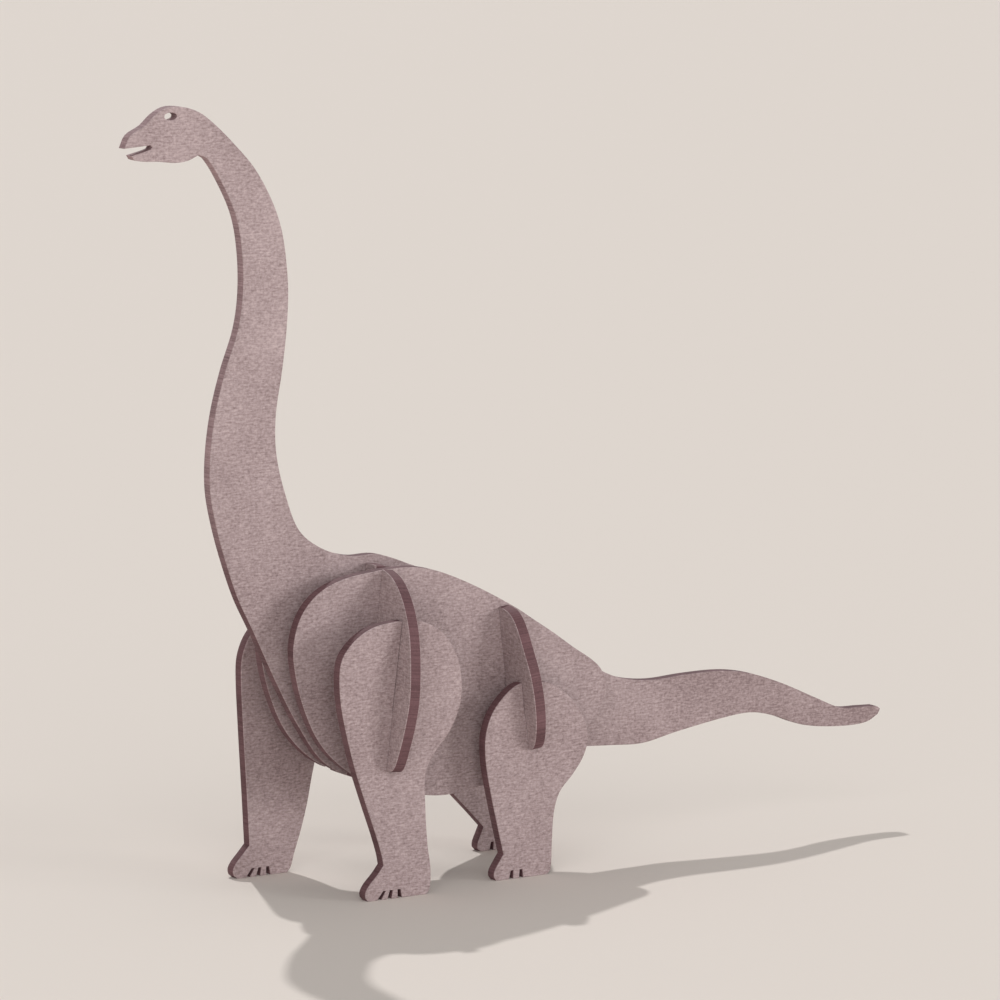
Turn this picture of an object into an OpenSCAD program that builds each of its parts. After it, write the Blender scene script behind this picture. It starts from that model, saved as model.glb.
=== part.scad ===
// Long-necked dinosaur, put together from nine flat boards that cross in slots.
// It faces -X and stands on Z = 0. Its left side is at -Y.
// Heights on the two tilted ribs are measured along the board.

/* [Board] */
// Thickness of the board
board_t = 3; // [2:0.1:5]
// Play of a board in a slot, both sides together
slot_play = 0.1; // [0.05:0.01:0.3]

/* [Overall size] */
// Length from snout to tail tip
body_length = 220; // [184:1:264]
// Height from the ground to the top of the head
body_height = 193; // [161:1:232]

/* [Body] */
// Distance between the middles of the two torso plates
torso_spacing = 16; // [13:0.5:19]
// Length of the eye opening
eye_length = 3.4; // [2:0.1:4]
// Height of the eye opening
eye_height = 1.8; // [1:0.1:2.2]

/* [Shoulder rib] */
// Place of the shoulder rib along the body, at the height of its joint
shoulder_x = -45.5; // [-52:0.5:-40]
// Lean of the shoulder rib, bottom end forward
shoulder_tilt = 7.5; // [0:0.5:10]
// Depth of the slots for the body plates, from the top of the shoulder rib
shoulder_slot_depth = 22.4; // [14:0.1:28]
// How far the shoulder rib stands out beyond the middle of a front leg
shoulder_overhang = 8.5; // [6:0.5:14]

/* [Hip rib] */
// Place of the hip rib along the body, at the height of its joint
hip_x = -7.5; // [-12:0.5:0]
// Lean of the hip rib, bottom end rearward
hip_tilt = 6; // [0:0.5:10]
// Depth of the slots for the body plates, from the top of the hip rib
hip_slot_depth = 17.8; // [12:0.1:21]
// How far the hip rib stands out beyond the middle of a rear leg
hip_overhang = 6.5; // [5:0.5:11]

/* [Legs] */
// Distance between the middles of the two front legs
front_track = 40; // [34:0.5:52]
// Distance between the middles of the two rear legs
rear_track = 32; // [27:0.5:42]
// Depth of the slot for the shoulder rib, from the top of a front leg
front_leg_slot_depth = 22; // [14:0.5:27]
// Depth of the slot for the hip rib, from the top of a rear leg
rear_leg_slot_depth = 9; // [6:0.5:12]
// Width of a notch between two toes, at the sole
toe_notch_w = 1.1; // [0.8:0.1:2]
// Height of a notch between two toes
toe_notch_h = 2.1; // [1.4:0.1:3]
// Distance from one toe notch to the next
toe_pitch = 2.9; // [2.4:0.1:3.4]

/* [Smoothness] */
// Longest straight step along a curved edge
curve_step = 1.3; // [0.8:0.1:5]

/* [Hidden] */
slot_w = board_t + slot_play;
// The outlines below are drawn for these sizes, and stretched to the sizes above
drawn_length = 220;
drawn_height = 193;
drawn_front_track = 40;
drawn_rear_track = 32;
drawn_shoulder_overhang = 8.5;
drawn_hip_overhang = 6.5;
along = body_length / drawn_length;
upward = body_height / drawn_height;
// Tops of the ribs and legs as drawn
shoulder_top = 79.4;
hip_top = 66.8;
front_leg_top = 68;
rear_leg_top = 49;
// Heights at which the ribs meet the body plates, and the legs meet the ribs
shoulder_joint_z = shoulder_top * upward - shoulder_slot_depth;
hip_joint_z = hip_top * upward - hip_slot_depth;
front_leg_joint_z = front_leg_top * upward - front_leg_slot_depth;
rear_leg_joint_z = rear_leg_top * upward - rear_leg_slot_depth;
// A slot that opens at an edge is cut this long, past any edge
cut_length = body_height;
// Place of the eye on the drawing
eye_at = [-97.2, 190.7];
// How far the notches between the toes lean back, from the first one on
front_notch_lean = [1.5, 0.5, -0.2];
rear_notch_lean = [0.3, 0];
// Width of a notch at its top, as a share of its width at the sole
notch_taper = 0.7;
face_colour = [0.55, 0.47, 0.46];
rib_colour = [0.42, 0.33, 0.32];
leg_colour = [0.60, 0.52, 0.51];

// Direction of the edge at knot i, with knots that stand unevenly allowed for
function heading(k, i) =
    let (a = k[max(i - 1, 0)], b = k[min(i + 1, len(k) - 1)])
    (b - a) / (norm(k[i] - a) + norm(b - k[i]));

// One stroke of an outline: a smooth edge through its knots, up to but without the last one.
// Two knots make a straight edge.
function stroke(k) = len(k) == 2 ? [k[0]] :
    [for (i = [0:len(k) - 2])
        let (p = k[i], q = k[i + 1], d = norm(q - p), m = heading(k, i) * d,
             n = heading(k, i + 1) * d, steps = ceil(d / curve_step))
        for (s = [0:steps - 1])
            let (t = s / steps)
            (2 * t^3 - 3 * t^2 + 1) * p + (t^3 - 2 * t^2 + t) * m
                + (3 * t^2 - 2 * t^3) * q + (t^3 - t^2) * n];

// A closed outline: each stroke begins where the one before ends, with a corner there
function outline(strokes) = [for (k = strokes) each stroke(k)];

// The left half of a rib's outline, stretched to the track and the overhang, and joined to its
// mirror image. The part as far out as the middle of a leg follows the track, the rest the overhang.
function rib_outline(half, track, overhang, drawn_track, drawn_overhang) =
    let (fitted = [for (p = half)
             let (out = -p.x, beyond = max(out - drawn_track / 2, 0))
             [-((out - beyond) * track / drawn_track + beyond * overhang / drawn_overhang), p.y]])
    concat(fitted, [for (i = [len(fitted) - 1:-1:1]) [-fitted[i].x, fitted[i].y]]);

body_outline = outline([
    // snout, brow, nape, back of the neck, withers, back and top of the tail, to its end
    [[-109.7, 183.6], [-108.1, 186.6], [-104.3, 188.7], [-101.4, 191.2], [-98.2, 192.8],
     [-94.8, 192.9], [-91.2, 192.1], [-87.6, 190.2], [-81, 184.4], [-73.5, 176], [-67.6, 164],
     [-65.5, 151], [-65.6, 141], [-67, 129], [-69, 117], [-68.8, 107.5], [-66.2, 97.2], [-62.6, 88.8],
     [-56.5, 84], [-48.6, 81.4], [-41, 81.2], [-34, 79], [-22, 73.6], [-6.5, 66],
     [5, 59.2], [16, 51.5], [24.5, 46.2], [31, 43.6], [39.5, 42.4], [50, 42.8], [61, 42.7],
     [69.4, 41.3], [79.4, 37.8], [90, 33], [98, 29.6], [104.5, 29.2], [108.9, 29]],
    [[108.9, 29], [110.3, 28.2], [109.6, 26.8]],
    // underside of the tail
    [[109.6, 26.8], [106.5, 25.2], [101, 24.7], [92, 25.3], [85, 26.6], [77, 29.6], [70, 31.1],
     [62, 30.6], [47.4, 28.4], [37, 26.5], [27.3, 26.9], [17, 27.6]],
    // belly, chest and front of the neck, up to the jaw
    [[17, 27.6], [4, 25.6], [-12, 24], [-30, 23.6], [-46, 26], [-56, 31], [-63, 40.5],
     [-69, 51.5], [-75.5, 65], [-79.7, 73.4], [-83, 82.5], [-85.6, 91.5], [-87.2, 100],
     [-87.1, 109], [-85.6, 119], [-82.8, 129], [-79.3, 138.6], [-77.9, 147], [-78, 157],
     [-79.6, 166], [-83.4, 174.2], [-87.4, 180.2], [-89.6, 181.2]],
    // lower jaw
    [[-89.6, 181.2], [-92.4, 180], [-96, 179.6], [-100.5, 180.1], [-104.6, 180.3],
     [-107.2, 180.9], [-107.8, 181.8]],
    // mouth
    [[-107.8, 181.8], [-102.7, 183.1], [-102.2, 183.6], [-102.7, 184.1]],
    [[-102.7, 184.1], [-109.7, 183.6]]]);

torso_outline = outline([
    [[-44, 78.7], [-54.4, 77.4], [-61.5, 74.7], [-66.2, 70.2], [-68.6, 64.5], [-69, 58.5],
     [-66.8, 48.3], [-62.2, 38.2], [-55.2, 30.8], [-45, 25.4], [-34, 22.2], [-26, 21.2],
     [-16, 22.4], [-4, 24.8], [8, 29], [15.6, 34.4], [19.9, 40.4], [20.6, 45.4], [18.2, 49.6],
     [10.7, 54.9], [5.1, 58.9], [-0.5, 62.6], [-6, 66.2], [-17, 72.2], [-27.5, 76.8],
     [-35, 78.6], [-44, 78.7]]]);

shoulder_half = concat(
    outline([
        [[0, 79.4], [-5, 79.4], [-9.4, 78.9], [-14.5, 77.3], [-18.7, 74.2], [-22.2, 70.1],
         [-25.2, 64.6], [-27.4, 57], [-28.5, 49.5], [-27.9, 42.9], [-26.6, 37.3], [-25.2, 33],
         [-24, 31.6], [-22.4, 31.2]],
        [[-22.4, 31.2], [-17.6, 31.2]],
        [[-17.6, 31.2], [-16, 31.8], [-14.6, 34.6], [-11.4, 38.6], [-6, 41], [0, 41.5]]]),
    [[0, 41.5]]);

hip_half = concat(
    outline([
        [[0, 66.6], [-6, 66.8], [-11, 66.8], [-14.6, 65.6], [-17, 62.8], [-19.8, 56.1],
         [-21.6, 51.2], [-22.5, 45], [-22.3, 39.5], [-21.2, 35], [-19.9, 32.8], [-18.4, 32]],
        [[-18.4, 32], [-13.7, 32]],
        [[-13.7, 32], [-12.4, 32.6], [-11.2, 34.9], [-8, 37.3], [0, 38.4]]]),
    [[0, 38.4]]);

// Legs are drawn with X = 0 where the slot meets its end, and the sole at height 0
front_left_outline = outline([
    [[0, 68], [-5.5, 67.4], [-9.4, 66], [-12.8, 63.6], [-15.4, 60.4], [-16.3, 56.5],
     [-16, 49.5], [-14.4, 41.4], [-12, 32.6], [-8.9, 23.4], [-6.4, 16.4], [-4.7, 11], [-4.2, 8.4]],
    [[-4.2, 8.4], [-6, 6.2], [-8.2, 4], [-9.3, 2.3], [-9.3, 0.9], [-8.6, 0]],
    [[-8.6, 0], [7.8, 0]],
    [[7.8, 0], [8.9, 1.2], [9.1, 6.6], [8.3, 12.3], [7.7, 22], [7.8, 30], [10.2, 34.6],
     [14.6, 39.6], [17.4, 45.4], [18.1, 51.6], [16.6, 58.4], [12.6, 64.2], [7, 67.3], [0, 68]]]);

front_right_outline = outline([
    [[0, 68], [-8, 67.1], [-14, 64.3], [-18, 60.6], [-20.2, 56.1], [-20.8, 51.5], [-20.3, 38],
     [-19.3, 20], [-18.7, 8]],
    [[-18.7, 8], [-20.6, 5.9], [-22.5, 3.9], [-23.4, 2.3], [-23.2, 0.8], [-22.3, 0]],
    [[-22.3, 0], [-8.2, 0]],
    [[-8.2, 0], [-7.1, 1.1], [-6.1, 4.4], [-4.2, 9.9], [-2.3, 16.6], [-0.5, 25], [1.6, 32.2],
     [5.4, 37.4], [10.4, 42.4], [13.3, 49], [12.8, 57], [8.6, 64], [4, 67.2], [0, 68]]]);

rear_left_outline = outline([
    [[0, 49], [-4.2, 48.2], [-8.4, 45.1], [-11.4, 41.2], [-13, 36], [-12.9, 30], [-11.6, 22.6],
     [-9.6, 13.8], [-7.8, 6.4]],
    [[-7.8, 6.4], [-9.2, 4.4], [-10.4, 2.5], [-10.6, 1], [-9.9, 0]],
    [[-9.9, 0], [4.7, 0]],
    [[4.7, 0], [5.9, 1.2], [6.3, 8], [6.9, 15.5], [8.6, 20.4], [12.4, 24.4], [15.6, 28.8],
     [16.8, 33.4], [15.2, 39], [11.4, 44], [6, 47.8], [0, 49]]]);

rear_right_outline = outline([
    [[0, 49], [-4.6, 48.2], [-9, 45], [-12.2, 40.4], [-13.3, 34.6], [-11.6, 28], [-8, 21.4],
     [-3.2, 16.2], [2.4, 10.4], [6.3, 6.2]],
    [[6.3, 6.2], [5.4, 4.2], [4.6, 2.4], [4.5, 0.9], [5.3, 0]],
    [[5.3, 0], [19.6, 0]],
    [[19.6, 0], [20.8, 1.2], [20.6, 6], [19.2, 13], [19.4, 21], [18.8, 29], [16.6, 37.4],
     [12, 44], [6, 47.8], [0, 49]]]);

// Turns and moves a drawing or a solid to the frame of a rib: its foot on Z = 0,
// and its lean about the height of its joint
module in_rib_frame(x, joint_z, tilt) {
    translate([x, 0, joint_z]) rotate([0, tilt, 0]) translate([0, 0, -joint_z]) children();
}

// A board that stands along the body, cut from a drawing in X and Z
module lengthwise_board(y) {
    translate([0, y, 0]) rotate([90, 0, 0]) linear_extrude(board_t, center = true) children();
}

// The slot that a rib needs in a lengthwise board, from height from_z down or up to the edge
module slot_for_rib(x, joint_z, tilt, from_z, opens_down) {
    translate([x, joint_z]) rotate(-tilt)
        translate([-slot_w / 2, from_z - joint_z - (opens_down ? cut_length : 0)])
            square([slot_w, cut_length]);
}

// The slots of both ribs in a plate that rests on them
module belly_slots() {
    slot_for_rib(shoulder_x, shoulder_joint_z, shoulder_tilt, shoulder_joint_z, true);
    slot_for_rib(hip_x, hip_joint_z, -hip_tilt, hip_joint_z, true);
}

// A cross rib with slots for three plates above and for two legs below
module rib(points, x, joint_z, tilt, track, leg_joint_z) {
    in_rib_frame(x, joint_z, tilt) rotate([90, 0, 90])
        linear_extrude(board_t, center = true) difference() {
            scale([1, upward]) polygon(points);
            for (y = [-torso_spacing / 2, 0, torso_spacing / 2])
                translate([y - slot_w / 2, joint_z]) square([slot_w, cut_length]);
            for (y = [-track / 2, track / 2])
                translate([y - slot_w / 2, leg_joint_z - cut_length]) square([slot_w, cut_length]);
        }
}

// A leg, with its slot for the rib and the notches between its toes: the first one is at notch_x
// on the leg's drawing, and the rest follow behind it
module leg(points, y, notch_x, notch_lean, x, joint_z, tilt, leg_joint_z) {
    leg_x = x + (leg_joint_z - joint_z) * sin(tilt);
    lengthwise_board(y) difference() {
        translate([leg_x, 0]) scale([1, upward]) polygon(points);
        slot_for_rib(x, joint_z, tilt, leg_joint_z, false);
        for (i = [0:len(notch_lean) - 1])
            translate([leg_x + notch_x + i * toe_pitch, 0])
                polygon([[-toe_notch_w / 2, -1], [-toe_notch_w / 2, 0],
                         [notch_lean[i] - toe_notch_w * notch_taper / 2, toe_notch_h],
                         [notch_lean[i] + toe_notch_w * notch_taper / 2, toe_notch_h],
                         [toe_notch_w / 2, 0], [toe_notch_w / 2, -1]]);
    }
}

// side is -1 for the left leg of a pair and 1 for the right leg
module front_leg(points, side, notch_x) {
    leg(points, side * front_track / 2, notch_x, front_notch_lean,
        shoulder_x, shoulder_joint_z, shoulder_tilt, front_leg_joint_z);
}

module rear_leg(points, side, notch_x) {
    leg(points, side * rear_track / 2, notch_x, rear_notch_lean,
        hip_x, hip_joint_z, -hip_tilt, rear_leg_joint_z);
}

module body_profile() {
    color(face_colour) lengthwise_board(0) difference() {
        scale([along, upward]) polygon(body_outline);
        translate([eye_at.x * along, eye_at.y * upward])
            scale([1, eye_height / eye_length]) circle(d = eye_length, $fn = 32);
        belly_slots();
    }
}

module torso_plate(side) {
    color(face_colour) lengthwise_board(side * torso_spacing / 2) difference() {
        scale([along, upward]) polygon(torso_outline);
        belly_slots();
    }
}

module torso_plate_left() torso_plate(-1);

module torso_plate_right() torso_plate(1);

module shoulder_rib() {
    color(rib_colour) rib(rib_outline(shoulder_half, front_track, shoulder_overhang,
                                      drawn_front_track, drawn_shoulder_overhang),
        shoulder_x, shoulder_joint_z, shoulder_tilt, front_track, front_leg_joint_z);
}

module hip_rib() {
    color(rib_colour) rib(rib_outline(hip_half, rear_track, hip_overhang,
                                      drawn_rear_track, drawn_hip_overhang),
        hip_x, hip_joint_z, -hip_tilt, rear_track, rear_leg_joint_z);
}

module front_leg_left() color(leg_colour)
    front_leg(front_left_outline, side = -1, notch_x = -5.4);

module front_leg_right() color(leg_colour)
    front_leg(front_right_outline, side = 1, notch_x = -19.2);

module rear_leg_left() color(leg_colour)
    rear_leg(rear_left_outline, side = -1, notch_x = -5.6);

module rear_leg_right() color(leg_colour)
    rear_leg(rear_right_outline, side = 1, notch_x = 8.6);

body_profile();
torso_plate_left();
torso_plate_right();
shoulder_rib();
hip_rib();
front_leg_left();
front_leg_right();
rear_leg_left();
rear_leg_right();
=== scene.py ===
import math

import bmesh
import bpy
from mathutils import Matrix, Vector


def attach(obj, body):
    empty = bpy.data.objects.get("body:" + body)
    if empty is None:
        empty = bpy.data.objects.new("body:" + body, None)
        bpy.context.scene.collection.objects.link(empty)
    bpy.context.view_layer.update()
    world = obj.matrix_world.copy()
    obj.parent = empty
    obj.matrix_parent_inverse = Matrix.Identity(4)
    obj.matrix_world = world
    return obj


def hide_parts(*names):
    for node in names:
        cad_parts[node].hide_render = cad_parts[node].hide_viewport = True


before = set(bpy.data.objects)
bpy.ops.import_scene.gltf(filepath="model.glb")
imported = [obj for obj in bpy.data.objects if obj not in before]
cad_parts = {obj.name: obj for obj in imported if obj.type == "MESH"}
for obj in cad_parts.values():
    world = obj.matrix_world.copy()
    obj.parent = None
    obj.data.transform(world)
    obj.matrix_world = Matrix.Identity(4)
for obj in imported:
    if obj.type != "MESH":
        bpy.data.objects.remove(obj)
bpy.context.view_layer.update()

mm = 0.001  # everything in the scene is in metres


def linearColour(hexText):
    parts = [int(hexText[i:i + 2], 16) / 255 for i in (1, 3, 5)]
    return [p / 12.92 if p <= 0.04045 else ((p + 0.055) / 1.055) ** 2.4 for p in parts] + [1.0]


def addNode(tree, kind, values=None, links=None, **settings):
    # values and links are keyed by the socket's name or number
    node = tree.nodes.new("ShaderNode" + kind)
    for name, value in settings.items():
        setattr(node, name, value)
    for socket, value in (values or {}).items():
        node.inputs[socket].default_value = value
    for socket, source in (links or {}).items():
        tree.links.new(source, node.inputs[socket])
    return node


def newMaterial(name):
    material = bpy.data.materials.new(name)
    material.use_nodes = True
    material.node_tree.nodes.clear()
    return material, material.node_tree


def weighSum(tree, start, parts):
    # start plus each part's distance from its middle, times its weight
    total = start
    for source, middle, weight in parts:
        offset = addNode(tree, "Math", {1: middle}, {0: source}, operation="SUBTRACT")
        step = addNode(tree, "Math", {1: weight, 2: total if isinstance(total, float) else 0.0},
                       {0: offset.outputs[0]}, operation="MULTIPLY_ADD")
        if not isinstance(total, float):
            tree.links.new(total, step.inputs[2])
        total = step.outputs[0]
    return total


# the board's printed face
printedFace = {
    "dark": "#806b6b",       # mauve taupe ink, in the hollows of the pattern
    "light": "#c2aeae",
    "scorch": "#6d4f49",     # haze beside a laser cut
    "fibreLength": 1.9 * mm,  # real fibres are finer: these are as coarse as they need to show
    "fibreWidth": 0.42 * mm,
    "speck": 0.7 * mm,
    "mottle": 22 * mm,
    "scale": 3.3 * mm,       # one printed skin scale
    "scaleJoint": 0.16,      # share of a scale taken by the darker joint round it
    "paleFrom": 85 * mm,     # the face is paler from the back up to the head
    "paleTo": 150 * mm,
    "tailFrom": 20 * mm,     # and deepens a little from the hips to the tail
    "tailTo": 60 * mm,
    "tone": 0.46,            # 0 is the dark ink and 1 the light, and these shift it
    "fibreTone": 1.2,
    "speckTone": 1.1,
    "mottleTone": 0.5,
    "scaleTone": 0.08,
    "jointTone": -0.05,
    "paleTone": 0.14,
    "tailTone": -0.22,
    "hazeMost": 0.35,        # the haze at its strongest, right beside the cut
    "hazeSpeck": 0.8,        # how ragged the specks leave it
    "roughness": 0.66,
    "roughSpread": 0.07,
    "relief": 0.035 * mm,
}


def makePrintedFace(look):
    # hardboard face with an offset-printed skin: matt, fibrous, a little blotchy
    material, tree = newMaterial("printed_hardboard")
    uv = addNode(tree, "UVMap", uv_map="sheet").outputs[0]
    stretched = addNode(tree, "Mapping",
                        {"Scale": (1 / look["fibreLength"], 1 / look["fibreWidth"], 1)},
                        {"Vector": uv}).outputs[0]
    fibre = addNode(tree, "TexNoise", {"Scale": 1.0, "Detail": 3.0, "Roughness": 0.6},
                    {"Vector": stretched}, noise_dimensions="2D").outputs[0]
    speck = addNode(tree, "TexNoise", {"Scale": 1 / look["speck"], "Detail": 3.0,
                                       "Roughness": 0.7},
                    {"Vector": uv}, noise_dimensions="2D").outputs[0]
    mottle = addNode(tree, "TexNoise", {"Scale": 1 / look["mottle"], "Detail": 3.0},
                     {"Vector": uv}, noise_dimensions="2D").outputs[0]
    cell = addNode(tree, "TexVoronoi", {"Scale": 1 / look["scale"], "Randomness": 0.85},
                   {"Vector": uv}, voronoi_dimensions="2D", feature="F1").outputs["Color"]
    cellTone = addNode(tree, "SeparateColor", links={0: cell}).outputs[0]
    edge = addNode(tree, "TexVoronoi", {"Scale": 1 / look["scale"], "Randomness": 0.85},
                   {"Vector": uv}, voronoi_dimensions="2D",
                   feature="DISTANCE_TO_EDGE").outputs[0]
    joint = addNode(tree, "MapRange", {1: 0.0, 2: look["scaleJoint"], 3: 1.0, 4: 0.0},
                    {0: edge}, interpolation_type="SMOOTHSTEP").outputs[0]
    height = addNode(tree, "SeparateXYZ", links={0: addNode(tree, "TexCoord").outputs["Object"]})
    pale = addNode(tree, "MapRange", {1: look["paleFrom"], 2: look["paleTo"], 3: 0.0, 4: 1.0},
                   {0: height.outputs["Z"]}, interpolation_type="SMOOTHSTEP").outputs[0]
    tail = addNode(tree, "MapRange", {1: look["tailFrom"], 2: look["tailTo"], 3: 0.0, 4: 1.0},
                   {0: height.outputs["X"]}, interpolation_type="SMOOTHSTEP").outputs[0]
    tone = weighSum(tree, look["tone"], [
        (fibre, 0.5, look["fibreTone"]), (speck, 0.5, look["speckTone"]),
        (mottle, 0.5, look["mottleTone"]), (cellTone, 0.5, look["scaleTone"]),
        (joint, 0.0, look["jointTone"]), (pale, 0.0, look["paleTone"]),
        (tail, 0.0, look["tailTone"])])
    ink = addNode(tree, "Mix", {6: linearColour(look["dark"]), 7: linearColour(look["light"])},
                  {0: tone}, data_type="RGBA").outputs[2]
    heat = addNode(tree, "Attribute", attribute_name="heat").outputs["Fac"]
    ragged = weighSum(tree, heat, [(speck, 0.5, look["hazeSpeck"])])
    haze = addNode(tree, "MapRange", {1: 0.25, 2: 1.1, 3: 0.0, 4: look["hazeMost"]},
                   {0: ragged}, interpolation_type="SMOOTHSTEP").outputs[0]
    colour = addNode(tree, "Mix", {7: linearColour(look["scorch"])}, {0: haze, 6: ink},
                     data_type="RGBA").outputs[2]
    rough = addNode(tree, "MapRange", {1: 0.3, 2: 0.7,
                                       3: look["roughness"] - look["roughSpread"],
                                       4: look["roughness"] + look["roughSpread"]},
                    {0: fibre}).outputs[0]
    bump = addNode(tree, "Bump", {"Strength": 1.0, "Distance": look["relief"]},
                   {"Height": weighSum(tree, 0.0, [(fibre, 0.5, 1.0), (speck, 0.5, 0.6)])})
    shader = addNode(tree, "BsdfPrincipled", {"IOR": 1.46},
                     {"Base Color": colour, "Roughness": rough, "Normal": bump.outputs[0]})
    addNode(tree, "OutputMaterial", links={"Surface": shader.outputs[0]})
    return material


# the board's laser-cut edge
cutEdge = {
    "char": "#523538",       # burnt reddish brown
    "core": "#835f63",       # less burnt, in the middle of the thickness
    "paintedNeckLight": "#af9395",      # painted light: paler up the neck, in place of light falling on the neck's cut edge
    "stripe": 0.35 * mm,     # ridges that the beam's pulses leave, drawn coarser than real
    "patch": 7 * mm,
    "grit": 0.5 * mm,
    # paleFrom, paleTo and paleTone paint light onto the cut edge up the neck
    "paleFrom": 70 * mm,
    "paleTo": 100 * mm,
    "tone": 0.72,            # 0 is all char and 1 is core, and these shift it
    "ribTone": 0.9,
    "patchTone": 0.7,
    "gritTone": 0.5,
    "depthTone": -0.42,      # burnt most towards either face
    "paleTone": 0.30,
    "roughness": 0.78,
    "relief": 0.05 * mm,
}


def makeCutEdge(look):
    # charred hardboard: dull, dark and finely ribbed across the thickness
    material, tree = newMaterial("laser_charred_hardboard")
    uv = addNode(tree, "UVMap", uv_map="sheet").outputs[0]
    ribs = addNode(tree, "TexNoise", {"Scale": 1 / look["stripe"], "Detail": 2.0},
                   {"Vector": uv}, noise_dimensions="2D").outputs[0]
    patch = addNode(tree, "TexNoise", {"Scale": 1 / look["patch"], "Detail": 3.0},
                    {"Vector": uv}, noise_dimensions="2D").outputs[0]
    place = addNode(tree, "TexCoord").outputs["Object"]
    grit = addNode(tree, "TexNoise", {"Scale": 1 / look["grit"], "Detail": 3.0},
                   {"Vector": place}).outputs[0]
    depth = addNode(tree, "Attribute", attribute_name="depth").outputs["Fac"]
    height = addNode(tree, "SeparateXYZ", links={0: place}).outputs["Z"]
    # painted light: the edge is painted paler from paleFrom up to paleTo high
    pale = addNode(tree, "MapRange", {1: look["paleFrom"], 2: look["paleTo"], 3: 0.0, 4: 1.0},
                   {0: height}, interpolation_type="SMOOTHSTEP").outputs[0]
    core = addNode(tree, "Mix",
                   {6: linearColour(look["core"]), 7: linearColour(look["paintedNeckLight"])},
                   {0: pale}, data_type="RGBA").outputs[2]
    tone = weighSum(tree, look["tone"], [
        (ribs, 0.5, look["ribTone"]), (patch, 0.5, look["patchTone"]),
        (grit, 0.5, look["gritTone"]), (depth, 0.0, look["depthTone"]),
        (pale, 0.0, look["paleTone"])])
    colour = addNode(tree, "Mix", {6: linearColour(look["char"])}, {0: tone, 7: core},
                     data_type="RGBA").outputs[2]
    bump = addNode(tree, "Bump", {"Strength": 1.0, "Distance": look["relief"]},
                   {"Height": weighSum(tree, 0.0, [(ribs, 0.5, 1.0), (grit, 0.5, 0.4)])})
    shader = addNode(tree, "BsdfPrincipled", {"Roughness": look["roughness"], "IOR": 1.46},
                     {"Base Color": colour, "Normal": bump.outputs[0]})
    addNode(tree, "OutputMaterial", links={"Surface": shader.outputs[0]})
    return material


boardFace = makePrintedFace(printedFace)
boardEdge = makeCutEdge(cutEdge)
print("materials made")


boardMaking = {
    "merge": 0.001 * mm,     # points closer than this are one
    "flat": 0.002 * mm,      # a face that rises less than this lies along the board
    "straight": 1,           # bends below this many degrees are taken out of an outline
    "corner": 35,            # and bends above this many stay sharp in the shading
    "rimHeat": 0.5,          # the rounded rim is half scorched
}


def flatDirection(sheet):
    # the way the board's two wide sides face: the direction with the most area
    areas, facing = {}, {}
    for face in sheet.faces:
        key = tuple(round(abs(part), 2) for part in face.normal)
        areas[key] = areas.get(key, 0.0) + face.calc_area()
        facing[key] = face.normal.copy()
    return facing[max(areas, key=areas.get)]


def cutBoard(node, body, settings):
    # one flat piece: the sheet is its CAD node's flat side, given its thickness again
    sheet = bmesh.new()
    sheet.from_mesh(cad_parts[node].data)
    heat = sheet.verts.layers.float.new("heat")      # 1 beside the cut, 0 further in
    depth = sheet.verts.layers.float.new("depth")    # 0 in mid-thickness, 1 at either face
    pattern = sheet.loops.layers.uv.new("sheet")     # metres on the board, right through it
    bmesh.ops.remove_doubles(sheet, verts=sheet.verts[:], dist=boardMaking["merge"])
    sheet.normal_update()
    facing = flatDirection(sheet)
    depths = [vert.co.dot(facing) for vert in sheet.verts]
    middle = (min(depths) + max(depths)) / 2
    thickness = max(depths) - min(depths)

    def rise(face):
        levels = [vert.co.dot(facing) for vert in face.verts]
        return max(levels) - min(levels)

    def isFlat(face):
        return rise(face) < boardMaking["flat"]

    others = [face for face in sheet.faces
              if not isFlat(face) or face.verts[0].co.dot(facing) < middle]
    bmesh.ops.delete(sheet, geom=others, context="FACES")
    bmesh.ops.remove_doubles(sheet, verts=sheet.verts[:], dist=settings["shortest"])
    bmesh.ops.dissolve_limit(sheet, angle_limit=math.radians(boardMaking["straight"]),
                             edges=sheet.edges[:], verts=[])
    bmesh.ops.inset_region(sheet, faces=sheet.faces[:], thickness=settings["haze"],
                           use_boundary=True, use_even_offset=True)
    grown = bmesh.ops.extrude_face_region(sheet, geom=sheet.faces[:])["geom"]
    bmesh.ops.translate(sheet, vec=-facing * thickness,
                        verts=[part for part in grown if isinstance(part, bmesh.types.BMVert)])
    bmesh.ops.recalc_face_normals(sheet, faces=sheet.faces[:])
    rim = [edge for edge in sheet.edges if len(edge.link_faces) == 2
           and isFlat(edge.link_faces[0]) != isFlat(edge.link_faces[1])]
    bmesh.ops.bevel(sheet, geom=rim, offset=settings["rounding"], offset_type="OFFSET",
                    segments=2, profile=0.5, affect="EDGES", clamp_overlap=True, material=-1)

    up = (Vector((0, 0, 1)) - facing * facing.z).normalized()
    across = up.cross(facing)
    for face in sheet.faces:
        cut = rise(face) > thickness / 2       # the rounded rim keeps the print
        face.material_index = 1 if cut else 0
        face.smooth = not isFlat(face)
        burn = 1.0 if cut else 0.0 if isFlat(face) else boardMaking["rimHeat"]
        for loop in face.loops:
            spot = loop.vert.co
            loop[pattern].uv = (spot.dot(across) + settings["shift"], spot.dot(up))
            loop.vert[heat] = max(loop.vert[heat], burn)
    for vert in sheet.verts:
        vert[depth] = abs(vert.co.dot(facing) - middle) / (thickness / 2)
    for edge in sheet.edges:
        edge.smooth = edge.calc_face_angle(0) < math.radians(boardMaking["corner"])

    mesh = bpy.data.meshes.new(node + "_board")
    sheet.to_mesh(mesh)
    sheet.free()
    mesh.materials.append(boardFace)
    mesh.materials.append(boardEdge)
    piece = bpy.data.objects.new(node + "_board", mesh)
    bpy.context.scene.collection.objects.link(piece)
    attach(piece, body)
    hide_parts(node)
    return piece


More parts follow.
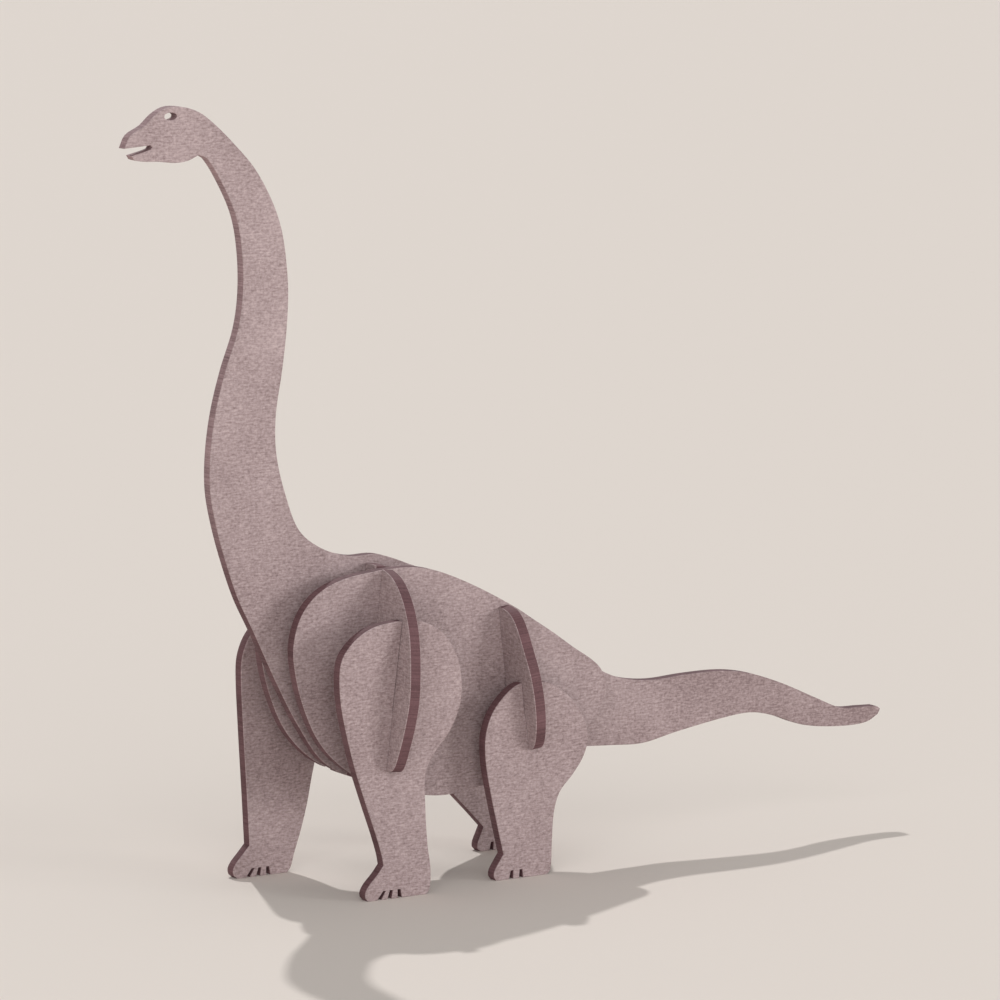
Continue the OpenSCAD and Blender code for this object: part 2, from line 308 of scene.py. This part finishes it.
# haze is the width of the scorched line beside the cut, rounding the radius of the cut's rim,
# shortest the least step kept along an outline, and shift moves the print over the board
profileBoard = {"haze": 0.22 * mm, "rounding": 0.16 * mm, "shortest": 0.3 * mm,
    "shift": 0.0}
cutBoard("body_profile", "body", profileBoard)
print("neck, back and tail board cut")

torsoBoard = {"haze": 0.22 * mm, "rounding": 0.16 * mm, "shortest": 0.3 * mm,
    "shift": 0.31}
for side, turn in (("left", 1), ("right", 2)):
    cutBoard("torso_plate_" + side, "body",
             dict(torsoBoard, shift=torsoBoard["shift"] * turn))
print("torso boards cut")

ribBoard = {"haze": 0.22 * mm, "rounding": 0.16 * mm, "shortest": 0.3 * mm,
    "shift": 0.93}
for place, turn in (("shoulder", 1), ("hip", 2)):
    cutBoard(place + "_rib", place + "_rib",
             dict(ribBoard, shift=ribBoard["shift"] * turn))
print("ribs cut")

legBoard = {"haze": 0.22 * mm, "rounding": 0.16 * mm, "shortest": 0.3 * mm,
    "shift": 0.47}
legNames = [end + "_leg_" + side for end in ("front", "rear") for side in ("left", "right")]
for turn, leg in enumerate(legNames, start=1):
    cutBoard(leg, leg, dict(legBoard, shift=legBoard["shift"] * turn))
print("legs cut")


floorLook = {"colour": "#e3dad2", "halfSize": 20.0, "grain": 3 * mm, "roughness": 0.9,
    "roughSpread": 0.05}


def makeFloor(look):
    # matt painted card: pale, warm and without a reflection
    material, tree = newMaterial("matt_card")
    place = addNode(tree, "TexCoord").outputs["Object"]
    grain = addNode(tree, "TexNoise", {"Scale": 1 / look["grain"], "Detail": 2.0},
                    {"Vector": place}).outputs[0]
    rough = addNode(tree, "MapRange", {1: 0.0, 2: 1.0,
                                       3: look["roughness"] - look["roughSpread"],
                                       4: look["roughness"] + look["roughSpread"]},
                    {0: grain}).outputs[0]
    shader = addNode(tree, "BsdfPrincipled",
                     {"Base Color": linearColour(look["colour"]), "Specular IOR Level": 0.1},
                     {"Roughness": rough})
    addNode(tree, "OutputMaterial", links={"Surface": shader.outputs[0]})
    slab = bmesh.new()
    bmesh.ops.create_grid(slab, x_segments=1, y_segments=1, size=look["halfSize"])
    mesh = bpy.data.meshes.new("floor")
    slab.to_mesh(mesh)
    slab.free()
    mesh.materials.append(material)
    floor = bpy.data.objects.new("floor", mesh)
    bpy.context.scene.collection.objects.link(floor)


makeFloor(floorLook)

lightLook = {
    # name: (towards the light, strength, angular size in degrees)
    "key": ((0.64, -0.76, 0.12), 1.14, 22),
    "fill": ((-0.55, -0.80, 0.26), 1.32, 60),
    "back": ((0.27, 0.85, 1.00), 1.50, 1.6),
    "skyStrength": 0.43,
    "backdrop": "#dfd7cf",
}

for name in ("key", "fill", "back"):
    towards, strength, size = lightLook[name]
    lamp = bpy.data.lights.new(name + "_light", "SUN")
    lamp.energy = strength
    lamp.angle = math.radians(size)
    holder = bpy.data.objects.new(name + "_light", lamp)
    holder.rotation_euler = Vector(towards).to_track_quat("Z", "Y").to_euler()
    bpy.context.scene.collection.objects.link(holder)

world = bpy.data.worlds.new("studio")
world.use_nodes = True
world.node_tree.nodes.clear()
sky = addNode(world.node_tree, "Background",
              {"Color": linearColour("#ffffff"), "Strength": lightLook["skyStrength"]})
backdrop = addNode(world.node_tree, "Background",
                   {"Color": linearColour(lightLook["backdrop"]), "Strength": 1.0})
# the backdrop is what is seen past the floor, and the sky only lights
seen = addNode(world.node_tree, "LightPath").outputs["Is Camera Ray"]
either = addNode(world.node_tree, "MixShader",
                 links={0: seen, 1: sky.outputs[0], 2: backdrop.outputs[0]})
addNode(world.node_tree, "OutputWorld", links={"Surface": either.outputs[0]})
bpy.context.scene.world = world
bpy.context.scene.view_settings.view_transform = "Standard"
print("floor and lights placed")


cameraView = {
    "azimuth": -32.0,
    "elevation": 8.5,
    "distance": 1.5,
    "acrossView": 247 * mm,       # width of the picture where the model stands
    "aim": (-4.5 * mm, 0, 91.5 * mm),
}

around = math.radians(cameraView["azimuth"])
above = math.radians(cameraView["elevation"])
outward = Vector((math.sin(around) * math.cos(above), -math.cos(around) * math.cos(above),
                  math.sin(above)))
lens = bpy.data.cameras.new("camera")
lens.lens = lens.sensor_width * cameraView["distance"] / cameraView["acrossView"]
lens.clip_end = 100
camera = bpy.data.objects.new("camera", lens)
camera.location = Vector(cameraView["aim"]) + outward * cameraView["distance"]
camera.rotation_euler = outward.to_track_quat("Z", "Y").to_euler()
bpy.context.scene.collection.objects.link(camera)
bpy.context.scene.camera = camera
print("camera set")

bpy.context.view_layer.update()
